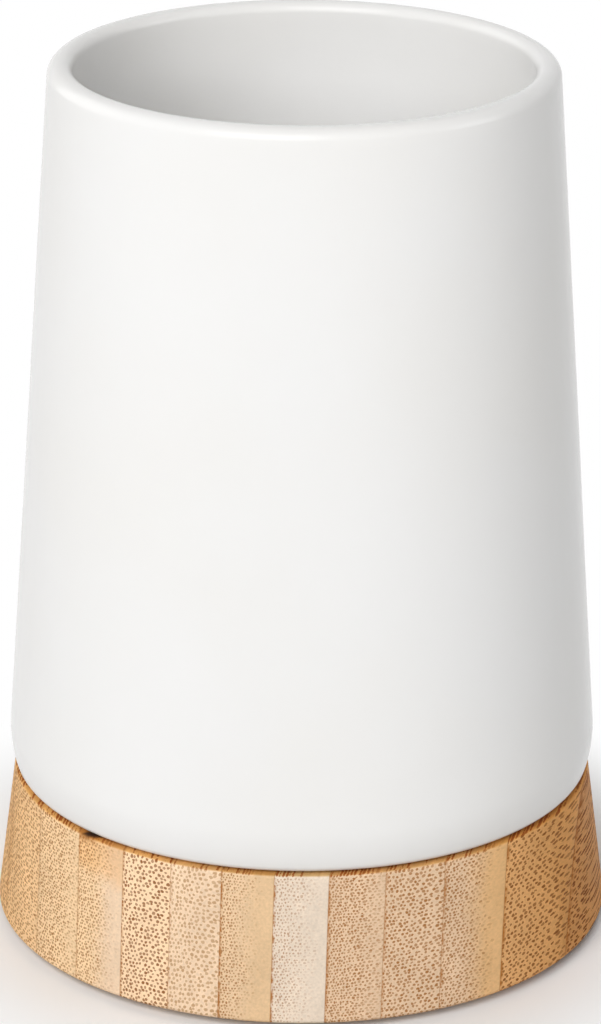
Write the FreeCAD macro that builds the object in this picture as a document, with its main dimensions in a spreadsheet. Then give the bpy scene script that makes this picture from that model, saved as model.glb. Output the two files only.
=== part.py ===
"""Bathroom tumbler: a glazed ceramic cup that stands in a turned base of laminated bamboo strips.

Frame: +Z up, origin on the axis at the level the foot pads stand on. The strips are stacked along X and
their fibres run along Y.
"""
import FreeCAD, Part
import math
import os
import Sketcher

# Driving dimensions in millimetres
SIZES = {
    # Cup, measured on the outside before its edges are rounded
    "cup_height": 90.3,
    "cup_heel_diameter": 74.1,
    "cup_rim_diameter": 61.4,
    "cup_wall": 3.0,
    "cup_floor": 5.0,
    "cup_heel_round": 3.6,
    "cup_inside_round": 7.0,
    # Unglazed foot under the cup, set in from the heel
    "cup_shoulder_width": 9.0,
    "cup_foot_depth": 3.0,
    "cup_foot_width": 4.2,
    "cup_foot_round": 0.6,
    "cup_hollow_rise": 0.6,
    # Bamboo base: its top edge lies a little inside the cup's heel, and its side flares out downwards.
    # It is turned from a glued blank of strips that is a little wider than the base on either side.
    "base_setback": 0.85,
    "base_flare": 2.45,
    "base_height": 18.5,
    "base_top_bevel": 0.3,
    "base_heel_bevel": 0.5,
    "blank_margin": 3.1,
    # Seat of the cup in the base
    "seat_gap": 0.2,
    "recess_clearance": 0.6,
    "ring_thickness": 1.2,
    "ring_inside_reach": 1.2,
    "ring_clearance": 0.2,
    "ring_round": 0.3,
    # Foot pads under the base
    "pad_height": 1.0,
    "pad_diameter": 9.0,
    "pad_inset": 6.0,
    "pad_round": 0.45,
    # How far the strip slabs run past the turned block
    "overrun": 2.0,
}

# The lip's two rounds, as shares of the wall
LIP_OUTER_SHARE = 0.54
LIP_INNER_SHARE = 0.42

STRIP_COUNT = 13
# How far the blank lies off the turning axis, as a share of a strip
STRIP_OFFSET_SHARE = 0.13

PAD_COUNT = 4
FULL_TURN = 360.0
# Share of a full turn from +X to the first pad, which puts the pads midway between the axes
PAD_START_SHARE = 0.125

doc = FreeCAD.newDocument("bathroom_tumbler")
sheet = doc.addObject("Spreadsheet::Sheet", "Sizes")
for row, (alias, size) in enumerate(SIZES.items(), start=1):
    sheet.set(f"A{row}", alias)
    sheet.set(f"B{row}", str(size))
    sheet.setAlias(f"B{row}", alias)
doc.recompute()

# Derived sizes, written once as expressions in the sheet's words
HEEL_RADIUS = "(Sizes.cup_heel_diameter / 2)"
RIM_RADIUS = "(Sizes.cup_rim_diameter / 2)"
FOOT_RADIUS = f"({HEEL_RADIUS} - Sizes.cup_shoulder_width)"
FOOT_INNER_RADIUS = f"({FOOT_RADIUS} - Sizes.cup_foot_width)"
RECESS_RADIUS = f"({FOOT_RADIUS} + Sizes.recess_clearance)"
RING_RADIUS = f"({RECESS_RADIUS} - Sizes.ring_clearance)"
RING_INNER_RADIUS = f"({FOOT_INNER_RADIUS} - Sizes.ring_inside_reach)"
BASE_TOP_RADIUS = f"({HEEL_RADIUS} - Sizes.base_setback)"
BASE_HEEL_RADIUS = f"({BASE_TOP_RADIUS} + Sizes.base_flare)"
BLANK_HALF = f"({BASE_HEEL_RADIUS} + Sizes.blank_margin)"
STRIP_THICKNESS = f"(2 * {BLANK_HALF} / {STRIP_COUNT})"
PAD_RADIUS = "(Sizes.pad_diameter / 2)"
PAD_CIRCLE_RADIUS = f"({BASE_HEEL_RADIUS} - Sizes.pad_inset - {PAD_RADIUS})"

ON_AXIS = "0"
ON_FLOOR = "0"
BASE_HEEL = "Sizes.pad_height"
BASE_TOP = f"({BASE_HEEL} + Sizes.base_height)"
SHOULDER = f"({BASE_TOP} + Sizes.seat_gap)"
RIM = f"({SHOULDER} + Sizes.cup_height)"
FLOOR_TOP = f"({SHOULDER} + Sizes.cup_floor)"
HOLLOW_TOP = f"({SHOULDER} + Sizes.cup_hollow_rise)"
FOOT_BOTTOM = f"({SHOULDER} - Sizes.cup_foot_depth)"
RECESS_FLOOR = f"({FOOT_BOTTOM} - Sizes.ring_thickness)"

# The inner wall runs parallel to the outer one
WALL_DRAFT = f"(({HEEL_RADIUS} - {RIM_RADIUS}) / Sizes.cup_height)"
MOUTH_RADIUS = f"({RIM_RADIUS} - Sizes.cup_wall)"
FLOOR_RADIUS = f"({HEEL_RADIUS} - {WALL_DRAFT} * Sizes.cup_floor - Sizes.cup_wall)"


def value(expression):
    """The number that an expression in the sheet's words comes to."""
    return float(doc.Sizes.evalExpression(expression.replace("Sizes.", "")))


def origin_plane(body, role):
    """One of a body's own three origin planes."""
    return next(feature for feature in body.Origin.OriginFeatures if feature.Role == role)


def turned_body(label, outline):
    """A body turned about Z from a closed half outline of (radius, height) expressions."""
    body = doc.addObject("PartDesign::Body", label)
    body.Label = label
    sketch = body.newObject("Sketcher::SketchObject", f"{label}_outline")
    sketch.AttachmentSupport = [(origin_plane(body, "XZ_Plane"), "")]
    sketch.MapMode = "FlatFace"

    points = [FreeCAD.Vector(value(radius), value(height), 0) for radius, height in outline]
    for start, end in zip(points, points[1:] + points[:1]):
        sketch.addGeometry(Part.LineSegment(start, end), False)
    for line in range(len(points)):
        sketch.addConstraint(Sketcher.Constraint("Coincident", line, 2, (line + 1) % len(points), 1))
    for line, (radius, height) in enumerate(outline):
        place_corner(sketch, line, "X", radius)
        place_corner(sketch, line, "Y", height)

    turned = body.newObject("PartDesign::Revolution", f"{label}_turned")
    turned.Profile = sketch
    turned.ReferenceAxis = (sketch, ["V_Axis"])
    turned.Angle = FULL_TURN
    sketch.Visibility = False
    doc.recompute()
    return body


def place_corner(sketch, line, direction, expression):
    """Fix one coordinate of the corner where a line of the outline starts."""
    if value(expression) == 0:
        axis = -2 if direction == "X" else -1
        sketch.addConstraint(Sketcher.Constraint("PointOnObject", line, 1, axis))
        return
    limit = Sketcher.Constraint(f"Distance{direction}", -1, 1, line, 1, value(expression))
    index = sketch.addConstraint(limit)
    sketch.setExpression(f"Constraints[{index}]", expression)


def round_edges(body, label, rings, radius):
    """Round the circular edges of a turned body that lie at the given (radius, height) expressions."""
    fillet = dress_edges(body, "PartDesign::Fillet", label, rings)
    fillet.setExpression("Radius", radius)
    doc.recompute()


def bevel_edges(body, label, rings, width):
    """Bevel the circular edges of a turned body that lie at the given (radius, height) expressions."""
    chamfer = dress_edges(body, "PartDesign::Chamfer", label, rings)
    chamfer.setExpression("Size", width)
    doc.recompute()


def dress_edges(body, kind, label, rings):
    """A new fillet or chamfer on some of the circular edges of a turned body."""
    base = body.Tip
    names = [ring_edge(base.Shape, value(radius), value(height)) for radius, height in rings]
    dressing = body.newObject(kind, label)
    dressing.Base = (base, names)
    return dressing


def ring_edge(shape, radius, height):
    """The name of the edge that circles the axis nearest to a radius and a height."""

    def miss(edge):
        if not isinstance(edge.Curve, Part.Circle):
            return math.inf
        return math.hypot(edge.Curve.Radius - radius, edge.Curve.Center.z - height)

    nearest = min(range(len(shape.Edges)), key=lambda index: miss(shape.Edges[index]))
    return f"Edge{nearest + 1}"


def make_cup():
    """The glazed cup: hollow above, with a narrower unglazed foot that drops into the base."""
    cup = turned_body("ceramic_cup", [
        (ON_AXIS, HOLLOW_TOP),
        (FOOT_INNER_RADIUS, HOLLOW_TOP),
        (FOOT_INNER_RADIUS, FOOT_BOTTOM),
        (FOOT_RADIUS, FOOT_BOTTOM),
        (FOOT_RADIUS, SHOULDER),
        (HEEL_RADIUS, SHOULDER),
        (RIM_RADIUS, RIM),
        (MOUTH_RADIUS, RIM),
        (FLOOR_RADIUS, FLOOR_TOP),
        (ON_AXIS, FLOOR_TOP),
    ])
    round_edges(cup, "heel_round", [(HEEL_RADIUS, SHOULDER)], "Sizes.cup_heel_round")
    round_edges(cup, "lip_outer_round", [(RIM_RADIUS, RIM)], f"Sizes.cup_wall * {LIP_OUTER_SHARE}")
    round_edges(cup, "lip_inner_round", [(MOUTH_RADIUS, RIM)], f"Sizes.cup_wall * {LIP_INNER_SHARE}")
    round_edges(cup, "inside_round", [(FLOOR_RADIUS, FLOOR_TOP)], "Sizes.cup_inside_round")
    foot_edges = [(FOOT_RADIUS, FOOT_BOTTOM), (FOOT_INNER_RADIUS, FOOT_BOTTOM)]
    round_edges(cup, "foot_round", foot_edges, "Sizes.cup_foot_round")
    return cup


def make_turned_block():
    """The whole bamboo base as one turned block, with the recess for the cup's foot in its top."""
    block = turned_body("turned_block", [
        (ON_AXIS, BASE_HEEL),
        (BASE_HEEL_RADIUS, BASE_HEEL),
        (BASE_TOP_RADIUS, BASE_TOP),
        (RECESS_RADIUS, BASE_TOP),
        (RECESS_RADIUS, RECESS_FLOOR),
        (ON_AXIS, RECESS_FLOOR),
    ])
    top_edges = [(BASE_TOP_RADIUS, BASE_TOP), (RECESS_RADIUS, BASE_TOP)]
    bevel_edges(block, "block_top_bevel", top_edges, "Sizes.base_top_bevel")
    bevel_edges(block, "block_heel_bevel", [(BASE_HEEL_RADIUS, BASE_HEEL)], "Sizes.base_heel_bevel")
    return block


def make_strips(block):
    """The strips: the turned block cut along its glue planes, each strip a solid of its own."""
    half_length = f"({BASE_HEEL_RADIUS} + Sizes.overrun)"
    strips = []
    for number in range(1, STRIP_COUNT + 1):
        slab = doc.addObject("Part::Box", f"strip_slab_{number:02d}")
        slab.setExpression("Length", STRIP_THICKNESS)
        slab.setExpression("Width", f"2 * {half_length}")
        slab.setExpression("Height", "Sizes.base_height + 2 * Sizes.overrun")
        place = f"{number - 1} + {STRIP_OFFSET_SHARE}"
        slab.setExpression("Placement.Base.x", f"({place}) * {STRIP_THICKNESS} - {BLANK_HALF}")
        slab.setExpression("Placement.Base.y", f"-{half_length}")
        slab.setExpression("Placement.Base.z", f"{BASE_HEEL} - Sizes.overrun")
        strip = doc.addObject("Part::Common", f"bamboo_strip_{number:02d}")
        strip.Label = f"bamboo_strip_{number:02d}"
        strip.Base = block
        strip.Tool = slab
        strips.append(strip)
    return strips


def make_seat_ring():
    """The silicone ring on the recess floor, which carries the cup's foot."""
    ring = turned_body("seat_ring", [
        (RING_INNER_RADIUS, RECESS_FLOOR),
        (RING_RADIUS, RECESS_FLOOR),
        (RING_RADIUS, FOOT_BOTTOM),
        (RING_INNER_RADIUS, FOOT_BOTTOM),
    ])
    top_edges = [(RING_RADIUS, FOOT_BOTTOM), (RING_INNER_RADIUS, FOOT_BOTTOM)]
    round_edges(ring, "ring_top_round", top_edges, "Sizes.ring_round")
    return ring


def make_pads():
    """The clear pads that the base stands on, spaced evenly on a circle under it."""
    pads = []
    for number in range(1, PAD_COUNT + 1):
        pad = turned_body(f"foot_pad_{number}", [
            (ON_AXIS, ON_FLOOR),
            (PAD_RADIUS, ON_FLOOR),
            (PAD_RADIUS, BASE_HEEL),
            (ON_AXIS, BASE_HEEL),
        ])
        round_edges(pad, f"pad_round_{number}", [(PAD_RADIUS, ON_FLOOR)], "Sizes.pad_round")
        turn = FULL_TURN * (PAD_START_SHARE + (number - 1) / PAD_COUNT)
        pad.setExpression("Placement.Base.x", f"{PAD_CIRCLE_RADIUS} * cos({turn})")
        pad.setExpression("Placement.Base.y", f"{PAD_CIRCLE_RADIUS} * sin({turn})")
        pads.append(pad)
    return pads


turned_block = make_turned_block()
pieces = [make_cup()] + make_strips(turned_block) + [make_seat_ring()] + make_pads()
doc.recompute()

# Nothing is written unless every object was made and every piece is one sound solid
for item in doc.Objects:
    if "Invalid" in item.State or "Error" in item.State:
        raise RuntimeError(f"{item.Label} was not made: {item.State}")
for piece in pieces:
    shape = piece.Shape
    if shape.isNull() or not shape.isValid() or len(shape.Solids) != 1:
        raise RuntimeError(f"{piece.Label} is not one sound solid")
strip_volume = sum(piece.Shape.Volume for piece in pieces if piece.Label.startswith("bamboo_strip"))
if not math.isclose(strip_volume, turned_block.Shape.Volume, rel_tol=1e-6):
    raise RuntimeError("the strips do not fill the turned block")

os.makedirs("parts", exist_ok=True)
for piece in pieces:
    piece.Shape.exportStep(os.path.join("parts", f"{piece.Label}.step"))
    box = piece.Shape.BoundBox
    print(f"{piece.Label}: {piece.Shape.Volume:.1f} mm3, z {box.ZMin:.2f} to {box.ZMax:.2f}")
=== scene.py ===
import math

import bmesh
import bpy
from mathutils import Euler, Matrix, Vector


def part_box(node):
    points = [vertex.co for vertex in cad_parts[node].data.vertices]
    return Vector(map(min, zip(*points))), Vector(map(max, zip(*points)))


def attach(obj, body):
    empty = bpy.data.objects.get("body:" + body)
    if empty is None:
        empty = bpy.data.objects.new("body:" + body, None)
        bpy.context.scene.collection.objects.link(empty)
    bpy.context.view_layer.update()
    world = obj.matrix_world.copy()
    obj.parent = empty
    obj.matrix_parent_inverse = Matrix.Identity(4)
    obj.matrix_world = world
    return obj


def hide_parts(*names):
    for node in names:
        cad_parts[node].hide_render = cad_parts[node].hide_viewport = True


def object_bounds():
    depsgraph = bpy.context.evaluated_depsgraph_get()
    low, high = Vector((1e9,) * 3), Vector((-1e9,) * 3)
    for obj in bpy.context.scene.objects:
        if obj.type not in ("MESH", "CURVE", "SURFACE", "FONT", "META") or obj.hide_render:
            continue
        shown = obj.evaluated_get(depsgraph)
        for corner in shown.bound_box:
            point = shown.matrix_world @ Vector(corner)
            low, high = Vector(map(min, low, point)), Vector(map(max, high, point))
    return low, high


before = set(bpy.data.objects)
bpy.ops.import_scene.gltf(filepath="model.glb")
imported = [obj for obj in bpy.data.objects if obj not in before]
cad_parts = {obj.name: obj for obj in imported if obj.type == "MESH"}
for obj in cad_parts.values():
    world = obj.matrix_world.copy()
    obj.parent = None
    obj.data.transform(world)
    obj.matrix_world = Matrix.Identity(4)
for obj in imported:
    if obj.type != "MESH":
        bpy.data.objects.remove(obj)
CAD_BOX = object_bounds()

MM = 0.001
STRIP_NODES = sorted(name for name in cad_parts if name.startswith("bamboo_strip"))
PAD_NODES = sorted(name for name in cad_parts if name.startswith("foot_pad"))

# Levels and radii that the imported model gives
CUP_LOW, CUP_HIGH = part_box("ceramic_cup")
RING_LOW, RING_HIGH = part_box("seat_ring")
PAD_LOW, PAD_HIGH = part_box(PAD_NODES[0])
BASE_HEEL_LEVEL = PAD_HIGH.z
BASE_TOP_LEVEL = max(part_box(name)[1].z for name in STRIP_NODES)
RIM_LEVEL = CUP_HIGH.z
FOOT_LEVEL = CUP_LOW.z
RECESS_LEVEL = RING_LOW.z
RING_RADIUS = RING_HIGH.x
PAD_RADIUS = (PAD_HIGH.x - PAD_LOW.x) / 2
# The first strip is a narrow outer slice, so the second one gives the thickness
STRIP_LOW, STRIP_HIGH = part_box(STRIP_NODES[1])
STRIP_THICKNESS = STRIP_HIGH.x - STRIP_LOW.x

# Cup, on the outside before its edges are rounded
SHOULDER_LEVEL = BASE_TOP_LEVEL + 0.2 * MM
HEEL_RADIUS = 37.05 * MM
RIM_RADIUS = 30.7 * MM
CUP_WALL = 3.0 * MM
CUP_FLOOR = 5.0 * MM
HEEL_HEIGHT = 3.4 * MM
HEEL_DRAW_IN = 1.2 * MM
HEEL_BEND = 12.0 * MM
HEEL_ROUND = 1.3 * MM
LIP_OUTER_ROUND = 1.62 * MM
LIP_INNER_ROUND = 1.26 * MM
INSIDE_ROUND = 7.0 * MM
FOOT_RADIUS = 28.05 * MM
FOOT_WIDTH = 4.2 * MM
FOOT_ROUND = 0.6 * MM
FOOT_FILLET = 0.8 * MM
HOLLOW_RISE = 0.6 * MM

# Bamboo base
BASE_TOP_RADIUS = 36.2 * MM
BASE_HEEL_RADIUS = 38.65 * MM
BASE_TOP_ROUND = 0.4 * MM
BASE_HEEL_ROUND = 0.55 * MM
RECESS_RADIUS = RING_RADIUS + 0.2 * MM
RECESS_ROUND = 0.35 * MM

# Silicone seat and pads
RING_WIDTH = 5.8 * MM
RING_ROUND = 0.3 * MM
GROOVE_COUNT = 3
GROOVE_WIDTH = 0.6 * MM
GROOVE_DEPTH = 0.25 * MM
PAD_ROUND = 0.45 * MM
DIMPLE_RADIUS = 2.6 * MM
DIMPLE_DEPTH = 0.25 * MM

TURN_STEPS = 256
PAD_STEPS = 48
CORNER_SEGMENTS = 10
WALL_CUTS = 60
SMOOTH_ANGLE = math.radians(35)
TOLERANCE = MM / 1000


# Modelling

def deselect_all():
    """Leave nothing selected, so that the next operator acts on its own piece alone."""
    if bpy.context.object and bpy.context.object.mode != "OBJECT":
        bpy.ops.object.mode_set(mode="OBJECT")
    bpy.ops.object.select_all(action="DESELECT")


def pick(piece):
    """Select one piece and make it the active one."""
    deselect_all()
    piece.select_set(True)
    bpy.context.view_layer.objects.active = piece


def rename(piece, name):
    """Give a piece and its mesh the same name."""
    piece.name = name
    piece.data.name = name


def copy_of(piece, name):
    """A copy of a piece with its own mesh, left in edit mode with all of it selected."""
    pick(piece)
    bpy.ops.object.duplicate()
    copy = bpy.context.object
    rename(copy, name)
    bpy.ops.object.mode_set(mode="EDIT")
    bpy.ops.mesh.select_all(action="SELECT")
    return copy


def select_corner(piece, radius, level):
    """Select the outline's point nearest to a radius and a level, in edit mode."""
    bpy.ops.mesh.select_all(action="DESELECT")
    outline = bmesh.from_edit_mesh(piece.data)
    corner = Vector((radius, 0, level))
    nearest = min(outline.verts, key=lambda point: (point.co - corner).length)
    nearest.select = True
    outline.select_flush_mode()
    bmesh.update_edit_mesh(piece.data)


def tangent_length(before, corner, after, radius):
    """How far from a corner a round of that radius starts."""
    arriving = Vector(corner) - Vector(before)
    leaving = Vector(after) - Vector(corner)
    return radius * math.tan(arriving.angle(leaving) / 2)


def draw_outline(name, corners):
    """An open wire in the XZ plane through (radius, level, round) corners, with its corners rounded."""
    start = corners[0]
    deselect_all()
    bpy.ops.mesh.primitive_plane_add(size=MM, location=(start[0], 0, start[1]))
    piece = bpy.context.object
    rename(piece, name)
    bpy.ops.object.transform_apply(location=True)
    bpy.ops.object.mode_set(mode="EDIT")
    bpy.ops.mesh.select_all(action="SELECT")
    bpy.ops.mesh.merge(type="CENTER")
    for here, there in zip(corners, corners[1:]):
        step = (there[0] - here[0], 0, there[1] - here[1])
        bpy.ops.mesh.extrude_region_move(TRANSFORM_OT_translate={"value": step})
    for before, corner, after in zip(corners, corners[1:], corners[2:]):
        if corner[2]:
            select_corner(piece, corner[0], corner[1])
            offset = tangent_length(before[:2], corner[:2], after[:2], corner[2])
            bpy.ops.mesh.bevel(offset=offset, segments=CORNER_SEGMENTS, affect="VERTICES")
    return piece


def cut_long_edges(piece, least_length, cuts):
    """Divide the outline's long straight stretches, so that the turned wall can carry a gentle unevenness."""
    bpy.ops.mesh.select_all(action="DESELECT")
    outline = bmesh.from_edit_mesh(piece.data)
    for edge in outline.edges:
        edge.select = edge.calc_length() > least_length
    outline.select_flush_mode()
    bmesh.update_edit_mesh(piece.data)
    bpy.ops.mesh.subdivide(number_cuts=cuts)


def turn_outline(steps):
    """Turn the outline in edit mode about Z into a closed shell."""
    bpy.ops.mesh.select_all(action="SELECT")
    bpy.ops.mesh.spin(steps=steps, angle=math.tau, center=(0, 0, 0), axis=(0, 0, 1))
    close_shell()


def close_shell():
    """Merge what coincides, point the faces outwards and shade them smooth, ending in object mode."""
    bpy.ops.mesh.select_all(action="SELECT")
    bpy.ops.mesh.remove_doubles(threshold=TOLERANCE)
    bpy.ops.mesh.normals_make_consistent(inside=False)
    bpy.ops.object.mode_set(mode="OBJECT")
    bpy.ops.object.shade_smooth_by_angle(angle=SMOOTH_ANGLE)


def hand_over(piece, body, node, material):
    """Put a finished piece on its body, in place of its node, with its finish."""
    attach(piece, body)
    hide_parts(node)
    piece.data.materials.clear()
    piece.data.materials.append(material)


# Cup

CAST_WAVE_LENGTH = 45 * MM
CAST_WAVE_HEIGHT = 0.12 * MM
CAST_WALL_LEVEL = SHOULDER_LEVEL + 2 * HEEL_HEIGHT


def uneven_wall(cup):
    """The slight unevenness of a slip-cast wall, over the part of the cup above its heel."""
    wall = cup.vertex_groups.new(name="cast_wall")
    above = [point.index for point in cup.data.vertices if point.co.z > CAST_WALL_LEVEL]
    wall.add(above, 1.0, "REPLACE")
    waves = bpy.data.textures.new("cast_waves", "CLOUDS")
    waves.noise_basis = "IMPROVED_PERLIN"
    waves.noise_scale = CAST_WAVE_LENGTH
    pick(cup)
    displace = cup.modifiers.new("cast_wall", "DISPLACE")
    displace.texture = waves
    displace.vertex_group = wall.name
    displace.strength = CAST_WAVE_HEIGHT
    bpy.ops.object.modifier_apply(modifier=displace.name)


def make_cup():
    """The glazed cup, turned, with a narrower foot that drops into the base."""
    wall_draft = (HEEL_RADIUS - RIM_RADIUS) / (RIM_LEVEL - SHOULDER_LEVEL)
    floor_radius = HEEL_RADIUS - wall_draft * CUP_FLOOR - CUP_WALL
    foot_inner = FOOT_RADIUS - FOOT_WIDTH
    hollow_level = SHOULDER_LEVEL + HOLLOW_RISE
    floor_level = SHOULDER_LEVEL + CUP_FLOOR
    cup = draw_outline("cup", [
        (0, hollow_level, 0),
        (foot_inner, hollow_level, FOOT_FILLET),
        (foot_inner, FOOT_LEVEL, FOOT_ROUND),
        (FOOT_RADIUS, FOOT_LEVEL, FOOT_ROUND),
        (FOOT_RADIUS, SHOULDER_LEVEL, FOOT_FILLET),
        (HEEL_RADIUS - HEEL_DRAW_IN, SHOULDER_LEVEL, HEEL_ROUND),
        (HEEL_RADIUS - wall_draft * HEEL_HEIGHT, SHOULDER_LEVEL + HEEL_HEIGHT, HEEL_BEND),
        (RIM_RADIUS, RIM_LEVEL, LIP_OUTER_ROUND),
        (RIM_RADIUS - CUP_WALL, RIM_LEVEL, LIP_INNER_ROUND),
        (floor_radius, floor_level, INSIDE_ROUND),
        (0, floor_level, 0),
    ])
    cut_long_edges(cup, HEEL_RADIUS, WALL_CUTS)
    turn_outline(TURN_STEPS)
    uneven_wall(cup)
    return cup


# Base

def make_block():
    """The whole turned base, from which each strip is cut."""
    block = draw_outline("turned_block", [
        (0, BASE_HEEL_LEVEL, 0),
        (BASE_HEEL_RADIUS, BASE_HEEL_LEVEL, BASE_HEEL_ROUND),
        (BASE_TOP_RADIUS, BASE_TOP_LEVEL, BASE_TOP_ROUND),
        (RECESS_RADIUS, BASE_TOP_LEVEL, RECESS_ROUND),
        (RECESS_RADIUS, RECESS_LEVEL, 0),
        (0, RECESS_LEVEL, 0),
    ])
    turn_outline(TURN_STEPS)
    return block


def cut_at(glue_face, **cleared_side):
    """Cut the mesh in edit mode at a glue face, clear one side away and close the cut."""
    bpy.ops.mesh.select_all(action="SELECT")
    bpy.ops.mesh.bisect(plane_co=(glue_face, 0, 0), plane_no=(1, 0, 0), use_fill=True,
                        threshold=TOLERANCE, **cleared_side)


def cut_strip(block, node):
    """One bamboo strip: a copy of the block, cut away past the strip's two glue faces."""
    low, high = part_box(node)
    strip = copy_of(block, node.replace("bamboo_", ""))
    if node != STRIP_NODES[0]:
        cut_at(low.x, clear_inner=True)
    if node != STRIP_NODES[-1]:
        cut_at(high.x, clear_outer=True)
    close_shell()
    return strip


def make_seat():
    """The silicone seat: a flat ring with shallow grooves round its top."""
    inner = RING_RADIUS - RING_WIDTH
    top = RING_HIGH.z
    pitch = RING_WIDTH / (GROOVE_COUNT + 1)
    corners = [(inner, RING_LOW.z, 0), (RING_RADIUS, RING_LOW.z, 0), (RING_RADIUS, top, RING_ROUND)]
    for number in range(1, GROOVE_COUNT + 1):
        middle = RING_RADIUS - number * pitch
        corners.append((middle + GROOVE_WIDTH / 2, top, 0))
        corners.append((middle, top - GROOVE_DEPTH, 0))
        corners.append((middle - GROOVE_WIDTH / 2, top, 0))
    corners += [(inner, top, RING_ROUND), (inner, RING_LOW.z, 0)]
    seat = draw_outline("silicone_seat", corners)
    turn_outline(TURN_STEPS)
    return seat


def make_pad():
    """One foot pad on the axis, with a rounded edge and a shallow dimple underneath."""
    pad = draw_outline("pad", [
        (0, PAD_LOW.z + DIMPLE_DEPTH, 0),
        (DIMPLE_RADIUS, PAD_LOW.z + DIMPLE_DEPTH, DIMPLE_DEPTH),
        (DIMPLE_RADIUS + DIMPLE_DEPTH, PAD_LOW.z, DIMPLE_DEPTH),
        (PAD_RADIUS, PAD_LOW.z, PAD_ROUND),
        (PAD_RADIUS, PAD_HIGH.z, 0),
        (0, PAD_HIGH.z, 0),
    ])
    turn_outline(PAD_STEPS)
    return pad


def place_pad(pad, node):
    """A copy of the pad, moved in its own mesh to where its node is."""
    low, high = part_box(node)
    placed = copy_of(pad, node.replace("foot_", ""))
    bpy.ops.transform.translate(value=((low.x + high.x) / 2, (low.y + high.y) / 2, 0))
    bpy.ops.object.mode_set(mode="OBJECT")
    return placed


# Nodes

# The Mix node's colour sockets
MIX_FIRST, MIX_SECOND, MIX_RESULT = 6, 7, 2


def put(tree, socket, source):
    """Feed a socket from another node's output, or set it to a plain value."""
    if isinstance(source, bpy.types.NodeSocket):
        tree.links.new(source, socket)
    else:
        socket.default_value = source


def calc(tree, operation, *sources, clamp=False):
    """A number worked out from others."""
    node = tree.nodes.new("ShaderNodeMath")
    node.operation = operation
    node.use_clamp = clamp
    for socket, source in zip(node.inputs, sources):
        put(tree, socket, source)
    return node.outputs[0]


def calc_vector(tree, operation, *sources):
    """A vector worked out from others, or its length."""
    node = tree.nodes.new("ShaderNodeVectorMath")
    node.operation = operation
    for socket, source in zip(node.inputs, sources):
        put(tree, socket, source)
    return node.outputs["Value" if operation == "LENGTH" else "Vector"]


def enlarge(tree, vector, factor):
    """A vector times a number."""
    enlarged = calc_vector(tree, "SCALE", vector)
    put(tree, enlarged.node.inputs["Scale"], factor)
    return enlarged


def in_millimetres(tree, place):
    """A place in metres, given in millimetres."""
    return enlarge(tree, place, 1 / MM)


def split(tree, vector):
    """The three numbers of a vector or a colour."""
    node = tree.nodes.new("ShaderNodeSeparateXYZ")
    put(tree, node.inputs[0], vector)
    return node.outputs[:]


def join(tree, *numbers):
    """A vector from its numbers."""
    node = tree.nodes.new("ShaderNodeCombineXYZ")
    for socket, number in zip(node.inputs, numbers):
        put(tree, socket, number)
    return node.outputs[0]


def fade(tree, source, none, full):
    """A soft step from 0 where the source is at none to 1 where it is at full."""
    node = tree.nodes.new("ShaderNodeMapRange")
    node.interpolation_type = "SMOOTHSTEP"
    put(tree, node.inputs["Value"], source)
    put(tree, node.inputs["From Min"], none)
    put(tree, node.inputs["From Max"], full)
    return node.outputs["Result"]


def spread(tree, source, low, high):
    """A number that goes from low to high as the source goes from 0 to 1."""
    return calc(tree, "MULTIPLY_ADD", source, high - low, low)


def mix(tree, factor, first, second, blend="MIX"):
    """One colour laid over another."""
    node = tree.nodes.new("ShaderNodeMix")
    node.data_type = "RGBA"
    node.blend_type = blend
    put(tree, node.inputs["Factor"], factor)
    put(tree, node.inputs[MIX_FIRST], opaque(first))
    put(tree, node.inputs[MIX_SECOND], opaque(second))
    return node.outputs[MIX_RESULT]


def opaque(source):
    """A plain colour with its fourth number; anything else stays as it is."""
    return (*source, 1.0) if isinstance(source, tuple) else source


def noise(tree, place, scale, detail=2.0):
    """Cloudy noise; its two outputs are a number and a colour, both about a half on average."""
    node = tree.nodes.new("ShaderNodeTexNoise")
    put(tree, node.inputs["Vector"], place)
    node.inputs["Scale"].default_value = scale
    node.inputs["Detail"].default_value = detail
    return node.outputs[:]


def stray(tree, place, scale, reach, axes=(1, 1, 1), detail=2.0):
    """A noisy offset of up to the reach either way, along some or all axes."""
    whole_span = tuple(2 * reach * axis for axis in axes)
    start = tuple(-reach * axis for axis in axes)
    return calc_vector(tree, "MULTIPLY_ADD", noise(tree, place, scale, detail)[1], whole_span, start)


def new_group(name, inputs, outputs):
    """An empty shader node group with named sockets, and its two end nodes."""
    tree = bpy.data.node_groups.new(name, "ShaderNodeTree")
    for label, kind in inputs:
        tree.interface.new_socket(label, in_out="INPUT", socket_type=f"NodeSocket{kind}")
    for label, kind in outputs:
        tree.interface.new_socket(label, in_out="OUTPUT", socket_type=f"NodeSocket{kind}")
    given = tree.nodes.new("NodeGroupInput").outputs
    result = tree.nodes.new("NodeGroupOutput").inputs
    return tree, given, result


def new_material(name):
    """An empty node material, with its shader and the object's own coordinates."""
    material = bpy.data.materials.new(name)
    material.use_nodes = True
    tree = material.node_tree
    shader = tree.nodes["Principled BSDF"]
    coordinates = tree.nodes.new("ShaderNodeTexCoord").outputs
    return material, tree, shader, coordinates


def add_group(tree, effect, shader, relief):
    """Place a shared effect in a material and let it drive the shader's colour, roughness and relief."""
    group = tree.nodes.new("ShaderNodeGroup")
    group.node_tree = effect
    put(tree, shader.inputs["Base Color"], group.outputs["Colour"])
    put(tree, shader.inputs["Roughness"], group.outputs["Roughness"])
    add_bump(tree, shader, group.outputs["Height"], relief)
    return group.inputs


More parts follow.
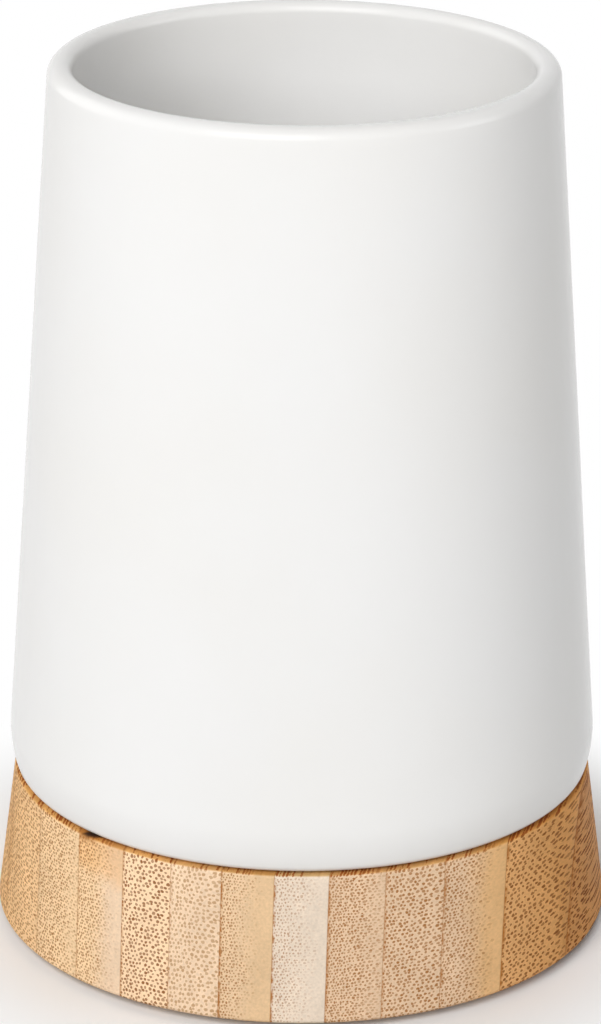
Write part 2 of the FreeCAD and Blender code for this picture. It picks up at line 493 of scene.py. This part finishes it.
def add_bump(tree, shader, height, distance):
    """A relief in the shader's normal, as deep as the distance."""
    bump = tree.nodes.new("ShaderNodeBump")
    bump.inputs["Distance"].default_value = distance
    put(tree, bump.inputs["Height"], height)
    put(tree, shader.inputs["Normal"], bump.outputs["Normal"])


# Bamboo

# Ground tones
CREAM = (0.93, 0.67, 0.43)
STRAW = (0.875, 0.625, 0.375)
HONEY = (0.88, 0.605, 0.345)
PEACH = (0.83, 0.615, 0.425)
BISCUIT = (0.77, 0.55, 0.345)
GOLD = (0.745, 0.515, 0.30)
PALE = (0.78, 0.65, 0.52)
ROSE = (0.75, 0.535, 0.355)
AMBER = (0.79, 0.50, 0.25)
TAN = (0.79, 0.45, 0.20)
BROWN = (0.69, 0.38, 0.17)
# Fibre tones
RED_BROWN = (0.26, 0.085, 0.015)
UMBER = (0.20, 0.06, 0.008)
RUSSET = (0.36, 0.145, 0.035)
FADED = (0.48, 0.27, 0.12)
# Where the strip's skin was, along the glue, and round the burnt mark
RUST = (0.40, 0.15, 0.03)
# What a face along the fibres takes from the ground
LONG_GRAIN = (0.86, 0.72, 0.48)
# What a face turned upwards takes from it (darker and yellower), and the fibres there
UPWARD_TINT = (0.90, 0.82, 0.66)
STREAK = (0.34, 0.09, 0.018)
STREAK_STRENGTH = 0.85
# The burnt mark, and what the toasted part of its strip takes from the ground, from where to where
SCORCHED = (0.055, 0.025, 0.014)
SCORCHED_STRIP = 4
SCORCH_PLACE = (-19.6 * MM, -29.1 * MM, BASE_TOP_LEVEL)
SCORCH_STRETCH = (0.5, 1.0, 1.6)
SCORCH_BROWNING = 0.75
TOASTED = (0.97, 0.86, 0.72)
TOASTED_LEVELS = (15.5 * MM, 18.0 * MM)
TOASTED_RAGGED = 3 * MM

# Each strip from left to right: ground, ground towards the right, fibres, their spacing in mm, their radius as a
# share of the spacing, their strength, where across the strip they start and end to fade, and the skin line
LOOK_SOCKETS = ("Ground", "Inner Ground", "Fibre", "Fibre Spacing", "Fibre Radius", "Fibre Strength",
                "Fade Start", "Fade End", "Skin Line")
STRIP_LOOKS = [
    (HONEY, HONEY, RUSSET, 0.47, 0.33, 0.9, 0.8, 1.7, 0.2),
    (HONEY, HONEY, RUSSET, 0.47, 0.33, 0.9, 0.8, 1.7, 0.2),
    (STRAW, STRAW, RUSSET, 0.44, 0.33, 0.95, 0.6, 1.4, 0.3),
    (STRAW, PEACH, RUSSET, 0.45, 0.33, 0.9, 0.2, 1.0, 0.5),
    (CREAM, CREAM, RED_BROWN, 0.56, 0.32, 0.95, 0.8, 1.9, 0.6),
    (PEACH, PEACH, FADED, 0.62, 0.32, 0.85, 0.9, 1.9, 0.3),
    (BISCUIT, GOLD, RUSSET, 0.44, 0.31, 0.95, 0.1, 0.8, 1.0),
    (PALE, PALE, RUSSET, 0.46, 0.30, 0.7, 0.1, 0.9, 1.0),
    (ROSE, ROSE, RUSSET, 0.43, 0.33, 0.95, 0.4, 1.4, 0.8),
    (ROSE, ROSE, RUSSET, 0.50, 0.32, 0.95, 0.9, 1.9, 0.5),
    (ROSE, AMBER, RUSSET, 0.46, 0.32, 0.95, 0.3, 0.95, 0.8),
    (TAN, TAN, UMBER, 0.57, 0.30, 0.9, 0.7, 1.8, 0.9),
    (BROWN, BROWN, UMBER, 0.53, 0.31, 1.0, 0.9, 1.9, 0.8),
]

# How the grain is shifted from each strip to the next, in mm
STRIP_SHIFT = (17.3, 41.9, 29.7)
# How far the bundles wander and how ragged their sections are, in mm, and how slowly they wander along X, Y and Z
ACROSS_FIBRES = (1, 0, 1)
WANDER = 0.7
WANDER_STRETCH = (0.09, 0.05, 0.09)
RAGGED = 0.12
# How much closer they stand at the left face, and over how many mm
CROWDING = 0.25
CROWDING_WIDTH = 6.4
# Rows of bundles: how far each is offset along the next, how much closer they stand, and how uneven they are
ROW_SLANT = 0.58
ROW_CLOSENESS = 1.15
ROW_UNEVENNESS = 0.5
# A bundle's edge from outside to inside, and the reach of the paler ring round it (partly paler tissue, partly
# painted highlight), as shares of its radius
BUNDLE_EDGE = (1.2, 0.7)
BUNDLE_RING = 2.4
# How much each bundle's own chance and the patches of the ground decide where bundles fade and the ground turns
FADE_CHANCE = 0.3
FADE_PATCHES = 0.6
FADE_SHIFT = -0.45
TURN_PATCHES = 0.4
# How the clouds and the mottle of the ground are drawn out along X, Y and Z
CLOUD_STRETCH = (1.0, 0.15, 0.5)
MOTTLE_STRETCH = (1.0, 0.2, 1.0)
# Widths of the skin line, from its end to its full tone, and of the glue line, and the glue's strength
SKIN_WIDTH = (0.4 * MM, 0.05 * MM)
GLUE_WIDTH = 0.09 * MM
GLUE_STRENGTH = 0.5
# What the mottle adds to the roughness, and what mottle and fibres do to the relief
MOTTLE_ROUGHNESS = 0.14
MOTTLE_RELIEF = 0.35
FIBRE_RELIEF = 0.6
BAMBOO_RELIEF = 0.03 * MM
BAMBOO_SPECULAR = 0.08


def build_bamboo_grain():
    """Bamboo as a solid: fibre bundles along Y, set close at the strip's left face and thinning to its right."""
    tree, given, result = new_group(
        "bamboo_grain",
        [("Place", "Vector"), ("Facing", "Vector"), ("Left Edge", "Float"), ("Thickness", "Float"),
         ("Ground", "Color"), ("Inner Ground", "Color"), ("Fibre", "Color"), ("Fibre Spacing", "Float"),
         ("Fibre Radius", "Float"), ("Fibre Strength", "Float"), ("Fade Start", "Float"), ("Fade End", "Float"),
         ("Skin Line", "Float"), ("Seed", "Float")],
        [("Colour", "Color"), ("Roughness", "Float"), ("Height", "Float")])

    # Place in millimetres, shifted for each strip so that no two strips are alike
    shift = enlarge(tree, STRIP_SHIFT, given["Seed"])
    own_place = calc_vector(tree, "ADD", in_millimetres(tree, given["Place"]), shift)

    # How far across the strip, from 0 at its left face to 1 at its right one
    from_left = calc(tree, "SUBTRACT", split(tree, given["Place"])[0], given["Left Edge"])
    across = calc(tree, "DIVIDE", from_left, given["Thickness"], clamp=True)

    # The bundles wander a little along their length, and their sections are ragged
    slow = calc_vector(tree, "MULTIPLY", own_place, WANDER_STRETCH)
    wander = stray(tree, slow, 1.0, WANDER, ACROSS_FIBRES, detail=1.0)
    ragged = stray(tree, own_place, 2.4, RAGGED, ACROSS_FIBRES, detail=1.0)
    strayed = calc_vector(tree, "ADD", calc_vector(tree, "ADD", own_place, wander), ragged)
    stray_x, _, stray_z = split(tree, strayed)

    # They stand closer together near the left face, in rows that are offset from each other
    crowding = calc(tree, "MULTIPLY", across, spread(tree, across, low=CROWDING, high=0.0))
    crowded_x = calc(tree, "MULTIPLY_ADD", crowding, CROWDING_WIDTH, stray_x)
    slanted_x = calc(tree, "MULTIPLY_ADD", stray_z, ROW_SLANT, crowded_x)
    section = join(tree, slanted_x, calc(tree, "MULTIPLY", stray_z, ROW_CLOSENESS), 0.0)
    cells = tree.nodes.new("ShaderNodeTexVoronoi")
    cells.voronoi_dimensions = "2D"
    cells.inputs["Randomness"].default_value = ROW_UNEVENNESS
    put(tree, cells.inputs["Vector"], section)
    put(tree, cells.inputs["Scale"], calc(tree, "DIVIDE", 1.0, given["Fibre Spacing"]))
    size_chance, fade_chance, tone_chance = split(tree, cells.outputs["Color"])

    # The distance from a bundle's middle is measured back in the strip's own section, so that bundles are round
    from_middle = calc_vector(tree, "SUBTRACT", section, cells.outputs["Position"])
    offset_x, offset_z, _ = split(tree, from_middle)
    offset_x = calc(tree, "MULTIPLY_ADD", offset_z, -ROW_SLANT / ROW_CLOSENESS, offset_x)
    offset_z = calc(tree, "MULTIPLY", offset_z, 1 / ROW_CLOSENESS)
    offset = calc_vector(tree, "LENGTH", join(tree, offset_x, offset_z, 0.0))
    distance = calc(tree, "DIVIDE", offset, given["Fibre Spacing"])

    # Each bundle has its own size, and fades by where it stands
    radius = calc(tree, "MULTIPLY", given["Fibre Radius"], spread(tree, size_chance, low=0.8, high=1.2))
    outer_edge, inner_edge = (calc(tree, "MULTIPLY", radius, share) for share in BUNDLE_EDGE)
    bundle = fade(tree, distance, outer_edge, inner_edge)
    patches = noise(tree, own_place, scale=0.16, detail=1.0)[0]
    stands = calc(tree, "MULTIPLY_ADD", fade_chance, FADE_CHANCE, across)
    stands = calc(tree, "MULTIPLY_ADD", patches, FADE_PATCHES, calc(tree, "ADD", stands, FADE_SHIFT))
    kept = fade(tree, stands, given["Fade End"], given["Fade Start"])
    kept_bundle = calc(tree, "MULTIPLY", bundle, kept)
    strength = calc(tree, "MULTIPLY", given["Fibre Strength"], spread(tree, tone_chance, low=0.7, high=1.0))
    fibre = calc(tree, "MULTIPLY", kept_bundle, strength)

    # Ground: it changes across the strip, with soft clouds, a fine mottle and a paler ring round each bundle, partly
    # paler tissue and partly painted highlight on the bundle's rim
    turning = fade(tree, calc(tree, "MULTIPLY_ADD", patches, TURN_PATCHES, across), none=0.45, full=1.0)
    ground = mix(tree, turning, given["Ground"], given["Inner Ground"])
    cloud_place = calc_vector(tree, "MULTIPLY", own_place, CLOUD_STRETCH)
    clouds = noise(tree, cloud_place, scale=0.35, detail=3.0)[0]
    mottle_place = calc_vector(tree, "MULTIPLY", own_place, MOTTLE_STRETCH)
    mottle = noise(tree, mottle_place, scale=3.2, detail=3.0)[0]
    shade = spread(tree, clouds, low=0.85, high=1.15)
    shade = calc(tree, "MULTIPLY", shade, spread(tree, mottle, low=0.82, high=1.18))
    # The paler ring is partly paler tissue and partly a painted highlight where each bundle's rim would catch the
    # light
    pale_ring_and_highlight = calc(tree, "MULTIPLY", fade(tree, distance, calc(tree, "MULTIPLY", radius, BUNDLE_RING), radius), kept)
    shade = calc(tree, "MULTIPLY", shade, spread(tree, pale_ring_and_highlight, low=1.0, high=1.1))
    ground = mix(tree, 1.0, ground, join(tree, shade, shade, shade), "MULTIPLY")
    colour = mix(tree, fibre, ground, given["Fibre"])

    # A broken dark line where the culm's skin was, and a thin glue line at both faces
    broken = fade(tree, noise(tree, own_place, scale=0.9, detail=3.0)[0], none=0.38, full=0.6)
    skin_strength = calc(tree, "MULTIPLY", broken, given["Skin Line"])
    skin = calc(tree, "MULTIPLY", fade(tree, from_left, *SKIN_WIDTH), skin_strength)
    colour = mix(tree, skin, colour, RUST)
    to_right = calc(tree, "SUBTRACT", given["Thickness"], from_left)
    glue = fade(tree, calc(tree, "MINIMUM", from_left, to_right), none=GLUE_WIDTH, full=0.0)
    colour = mix(tree, calc(tree, "MULTIPLY", glue, GLUE_STRENGTH), colour, RUST)

    # Faces along the fibres are deeper in tone than the end grain
    _, facing_y, facing_z = split(tree, given["Facing"])
    along = fade(tree, calc(tree, "ABSOLUTE", facing_y), none=0.85, full=0.15)
    colour = mix(tree, along, colour, LONG_GRAIN, "MULTIPLY")

    # Faces turned upwards are made darker and yellower, and their fibres show as vivid streaks
    upwards = fade(tree, facing_z, none=0.6, full=0.95)
    colour = mix(tree, upwards, colour, UPWARD_TINT, "MULTIPLY")
    streak = calc(tree, "MULTIPLY", kept_bundle, upwards)
    colour = mix(tree, calc(tree, "MULTIPLY", streak, STREAK_STRENGTH), colour, STREAK)

    put(tree, result["Colour"], colour)
    rough = spread(tree, fibre, low=0.45, high=0.6)
    put(tree, result["Roughness"], calc(tree, "MULTIPLY_ADD", mottle, MOTTLE_ROUGHNESS, rough))
    raised = calc(tree, "MULTIPLY", mottle, MOTTLE_RELIEF)
    relief = calc(tree, "SUBTRACT", raised, calc(tree, "MULTIPLY", fibre, FIBRE_RELIEF))
    put(tree, result["Height"], calc(tree, "SUBTRACT", relief, glue))
    return tree


def make_bamboo(grain, number):
    """The bamboo of one strip."""
    material, tree, shader, coordinates = new_material(f"bamboo_{number + 1:02d}")
    inputs = add_group(tree, grain, shader, BAMBOO_RELIEF)
    put(tree, inputs["Place"], coordinates["Object"])
    put(tree, inputs["Facing"], coordinates["Normal"])
    inputs["Left Edge"].default_value = STRIP_LOW.x + (number - 1) * STRIP_THICKNESS
    inputs["Thickness"].default_value = STRIP_THICKNESS
    for label, value in zip(LOOK_SOCKETS, STRIP_LOOKS[number]):
        inputs[label].default_value = opaque(value)
    inputs["Seed"].default_value = number + 1
    shader.inputs["Specular IOR Level"].default_value = BAMBOO_SPECULAR
    return material


def add_scorch(material):
    """A small burnt mark at one strip's upper edge, browned round about, on a toasted upper part."""
    tree = material.node_tree
    base_colour = tree.nodes["Principled BSDF"].inputs["Base Color"]
    bamboo_colour = base_colour.links[0].from_socket
    place = tree.nodes["Texture Coordinate"].outputs["Object"]
    ragged_place = calc_vector(tree, "ADD", place, stray(tree, place, 900.0, MM / 2))
    offset = calc_vector(tree, "SUBTRACT", ragged_place, SCORCH_PLACE)
    away = calc_vector(tree, "LENGTH", calc_vector(tree, "MULTIPLY", offset, SCORCH_STRETCH))
    level = split(tree, place)[2]
    ragged_level = calc(tree, "MULTIPLY_ADD", noise(tree, place, scale=250.0)[0], TOASTED_RAGGED, level)
    colour = mix(tree, fade(tree, ragged_level, *TOASTED_LEVELS), bamboo_colour, TOASTED, "MULTIPLY")
    browned = calc(tree, "MULTIPLY", fade(tree, away, none=1.9 * MM, full=0.7 * MM), SCORCH_BROWNING)
    colour = mix(tree, browned, colour, RUST)
    burnt = fade(tree, away, none=1.0 * MM, full=0.45 * MM)
    put(tree, base_colour, mix(tree, burnt, colour, SCORCHED))


# Glaze and silicone

GLAZE_WHITE = (0.865, 0.86, 0.85)
GLAZE_WARM = (0.855, 0.845, 0.825)
GLAZE_SPECULAR = 0.22
GLAZE_RELIEF = 0.05 * MM
BISQUE = (0.80, 0.75, 0.67)
BISQUE_ROUGHNESS = 0.6
BISQUE_RELIEF = 0.6
# The glaze stops above the foot, at a ragged and slightly soft edge
BARE_LEVEL = FOOT_LEVEL + 1.4 * MM
BARE_EDGE = 0.2 * MM
BARE_RAGGED = 0.5 * MM
# Iron specks: cells per mm, their largest radius as a share of a cell, and their strength
SPECK = (0.22, 0.18, 0.14)
SPECK_CELLS = 0.09
SPECK_SIZE = 0.02
SPECK_STRENGTH = 0.8


def make_glaze():
    """Glossy white glaze with a faint warmth, a few tiny iron specks, and a bare biscuit foot."""
    material, tree, shader, coordinates = new_material("glossy_glaze")
    place = in_millimetres(tree, coordinates["Object"])
    warmth = fade(tree, noise(tree, place, scale=0.03)[0], none=0.35, full=0.7)
    colour = mix(tree, warmth, GLAZE_WHITE, GLAZE_WARM)

    specks = tree.nodes.new("ShaderNodeTexVoronoi")
    specks.inputs["Scale"].default_value = SPECK_CELLS
    put(tree, specks.inputs["Vector"], place)
    chance = split(tree, specks.outputs["Color"])[0]
    size = calc(tree, "MULTIPLY", fade(tree, chance, none=0.8, full=1.0), SPECK_SIZE)
    speck = calc(tree, "LESS_THAN", specks.outputs["Distance"], size)
    colour = mix(tree, calc(tree, "MULTIPLY", speck, SPECK_STRENGTH), colour, SPECK)

    level = split(tree, coordinates["Object"])[2]
    ragged_level = calc(tree, "MULTIPLY_ADD", noise(tree, place, scale=0.5)[0], BARE_RAGGED, level)
    bare = fade(tree, ragged_level, none=BARE_LEVEL + BARE_EDGE, full=BARE_LEVEL)
    grain = noise(tree, place, scale=4.0, detail=4.0)[0]
    biscuit = mix(tree, grain, BISQUE, GLAZE_WARM)
    put(tree, shader.inputs["Base Color"], mix(tree, bare, colour, biscuit))

    ripple = noise(tree, place, scale=0.12)[0]
    gloss = spread(tree, ripple, low=0.18, high=0.25)
    put(tree, shader.inputs["Roughness"], calc(tree, "MULTIPLY_ADD", bare, BISQUE_ROUGHNESS, gloss))
    shader.inputs["Specular IOR Level"].default_value = GLAZE_SPECULAR
    relief = calc(tree, "MULTIPLY_ADD", calc(tree, "MULTIPLY", bare, grain), BISQUE_RELIEF, ripple)
    add_bump(tree, shader, relief, GLAZE_RELIEF)
    return material


SEAT_GREY = (0.78, 0.78, 0.76)
SEAT_DUST = (0.70, 0.70, 0.68)
PAD_CLEAR = (0.90, 0.90, 0.89)
PAD_DUST = (0.82, 0.82, 0.80)
SILICONE_IOR = 1.41
SILICONE_RELIEF = 0.02 * MM
SKIN_GRAIN_ROUGHNESS = 0.15
SKIN_GRAIN_RELIEF = 0.4


def build_moulded_silicone():
    """The fine, slightly uneven skin of moulded silicone."""
    tree, given, result = new_group(
        "moulded_silicone",
        [("Place", "Vector"), ("Colour", "Color"), ("Dusty", "Color"), ("Roughness", "Float")],
        [("Colour", "Color"), ("Roughness", "Float"), ("Height", "Float")])
    place = in_millimetres(tree, given["Place"])
    clouds = noise(tree, place, scale=0.25, detail=3.0)[0]
    grain = noise(tree, place, scale=5.0, detail=3.0)[0]
    rough = calc(tree, "MULTIPLY_ADD", grain, SKIN_GRAIN_ROUGHNESS, given["Roughness"])
    put(tree, result["Colour"], mix(tree, clouds, given["Colour"], given["Dusty"]))
    put(tree, result["Roughness"], rough)
    put(tree, result["Height"], calc(tree, "MULTIPLY_ADD", grain, SKIN_GRAIN_RELIEF, clouds))
    return tree


def make_silicone(skin, name, colour, dusty, roughness, clearness):
    """Silicone in one tone; clearness is how much light passes through."""
    material, tree, shader, coordinates = new_material(name)
    inputs = add_group(tree, skin, shader, SILICONE_RELIEF)
    put(tree, inputs["Place"], coordinates["Object"])
    inputs["Colour"].default_value = opaque(colour)
    inputs["Dusty"].default_value = opaque(dusty)
    inputs["Roughness"].default_value = roughness
    shader.inputs["IOR"].default_value = SILICONE_IOR
    shader.inputs["Transmission Weight"].default_value = clearness
    return material


# Camera, fitted to the outline and the glue lines in the photograph

VIEW_AZIMUTH = math.radians(11.5)
VIEW_PITCH = math.radians(20.685)
VIEW_ROLL = math.radians(0.238)
VIEW_DISTANCE = 512.4 * MM
VIEW_HEIGHT = 245.7 * MM
FOCAL_PIXELS = 4412.3
PHOTO_SIZE = (601, 1024)
AXIS_PIXEL = 302.7
SENSOR_WIDTH = 36.0


def around(azimuth, distance, height):
    """A point at an azimuth from the camera's side of the tumbler, positive to the right."""
    turn = VIEW_AZIMUTH + azimuth
    return Vector((math.sin(turn) * distance, -math.cos(turn) * distance, height))


def make_camera():
    """The camera, which stands off the tumbler's axis and looks down at it."""
    data = bpy.data.cameras.new("camera")
    data.sensor_width = SENSOR_WIDTH
    data.lens = SENSOR_WIDTH * FOCAL_PIXELS / max(PHOTO_SIZE)
    data.shift_x = (PHOTO_SIZE[0] / 2 - AXIS_PIXEL) / max(PHOTO_SIZE)
    camera = bpy.data.objects.new("camera", data)
    bpy.context.scene.collection.objects.link(camera)
    turn = Euler((math.pi / 2 - VIEW_PITCH, 0, VIEW_AZIMUTH)).to_matrix().to_4x4()
    camera.matrix_world = turn @ Matrix.Rotation(VIEW_ROLL, 4, "Z")
    camera.location = around(0, VIEW_DISTANCE, VIEW_HEIGHT)
    bpy.context.scene.camera = camera


# Light

MIDDLE = (CAD_BOX[0] + CAD_BOX[1]) / 2
SURROUND = 0.02
# Softboxes: azimuth in degrees, distance, height and size in metres, power in watts, and whether a gloss shows them
SOFTBOXES = {
    "front_softbox": (-19, 1.24, 0.89, 1.2, 23.7, True),
    "left_softbox": (-115, 1.41, 0.57, 1.2, 6.6, True),
    "right_softbox": (80, 1.46, 0.37, 0.7, 5.3, True),
    "back_softbox": (170, 1.25, 0.86, 1.2, 7.0, False),
}


def make_softbox(name, azimuth, distance, height, size, power, in_gloss):
    """A large soft lamp aimed at the middle of the tumbler."""
    data = bpy.data.lights.new(name, "AREA")
    data.size = size
    data.energy = power
    lamp = bpy.data.objects.new(name, data)
    bpy.context.scene.collection.objects.link(lamp)
    lamp.location = around(math.radians(azimuth), distance, height)
    lamp.rotation_euler = (MIDDLE - lamp.location).to_track_quat("-Z", "Y").to_euler()
    lamp.visible_camera = False
    lamp.visible_glossy = in_gloss


def seen_directly(tree):
    """1 for what the camera sees directly, in a gloss or through something clear, and 0 for the light it gives."""
    path = tree.nodes.new("ShaderNodeLightPath").outputs
    seen = calc(tree, "ADD", path["Is Camera Ray"], path["Is Glossy Ray"])
    return calc(tree, "ADD", seen, path["Is Transmission Ray"], clamp=True)


def make_light():
    """A strong softbox in front, weaker ones left, right and behind, and a dim surround that looks white."""
    for name, values in SOFTBOXES.items():
        make_softbox(name, *values)
    world = bpy.data.worlds.new("surround")
    world.use_nodes = True
    background = world.node_tree.nodes["Background"]
    background.inputs["Color"].default_value = (1, 1, 1, 1)
    strength = calc(world.node_tree, "MAXIMUM", seen_directly(world.node_tree), SURROUND)
    put(world.node_tree, background.inputs["Strength"], strength)
    bpy.context.scene.world = world


FLOOR_RADIUS = 6.0
FLOOR_STEPS = 128
FLOOR_WHITE = (0.95, 0.95, 0.95)
FLOOR_BOUNCE = (0.60, 0.60, 0.60)
FLOOR_ROUGHNESS = 0.9
FLOOR_SPECULAR = 0.1
# From where to where the shadow gives way to white, in metres from the axis
SHADOW_REACH = (0.039, 0.068)


def make_floor():
    """A plain white floor: it keeps the shadow near the tumbler and is an even white further out."""
    deselect_all()
    bpy.ops.mesh.primitive_circle_add(vertices=FLOOR_STEPS, radius=FLOOR_RADIUS, fill_type="NGON", location=(0, 0, 0))
    floor = bpy.context.object
    rename(floor, "floor")
    material, tree, shader, coordinates = new_material("floor")
    shader.inputs["Roughness"].default_value = FLOOR_ROUGHNESS
    shader.inputs["Specular IOR Level"].default_value = FLOOR_SPECULAR
    seen = seen_directly(tree)
    put(tree, shader.inputs["Base Color"], mix(tree, seen, FLOOR_BOUNCE, FLOOR_WHITE))
    white = tree.nodes.new("ShaderNodeEmission")
    away = calc_vector(tree, "LENGTH", coordinates["Object"])
    blend = tree.nodes.new("ShaderNodeMixShader")
    put(tree, blend.inputs[0], calc(tree, "MULTIPLY", fade(tree, away, *SHADOW_REACH), seen))
    put(tree, blend.inputs[1], shader.outputs[0])
    put(tree, blend.inputs[2], white.outputs[0])
    put(tree, tree.nodes["Material Output"].inputs["Surface"], blend.outputs[0])
    floor.data.materials.append(material)


# The tumbler

bpy.context.scene.view_settings.view_transform = "Standard"
hand_over(make_cup(), "cup", "ceramic_cup", make_glaze())

bamboo_grain = build_bamboo_grain()
turned_block = make_block()
for number, node in enumerate(STRIP_NODES):
    hand_over(cut_strip(turned_block, node), "base", node, make_bamboo(bamboo_grain, number))
bpy.data.objects.remove(turned_block)
add_scorch(bpy.data.materials[f"bamboo_{SCORCHED_STRIP:02d}"])

silicone_skin = build_moulded_silicone()
seat_silicone = make_silicone(silicone_skin, "soft_silicone", SEAT_GREY, SEAT_DUST, roughness=0.5, clearness=0.0)
clear_silicone = make_silicone(silicone_skin, "pad_silicone", PAD_CLEAR, PAD_DUST, roughness=0.3, clearness=0.6)
hand_over(make_seat(), "base", "seat_ring", seat_silicone)
master_pad = make_pad()
for node in PAD_NODES:
    hand_over(place_pad(master_pad, node), "base", node, clear_silicone)
bpy.data.objects.remove(master_pad)

make_camera()
make_light()
make_floor()
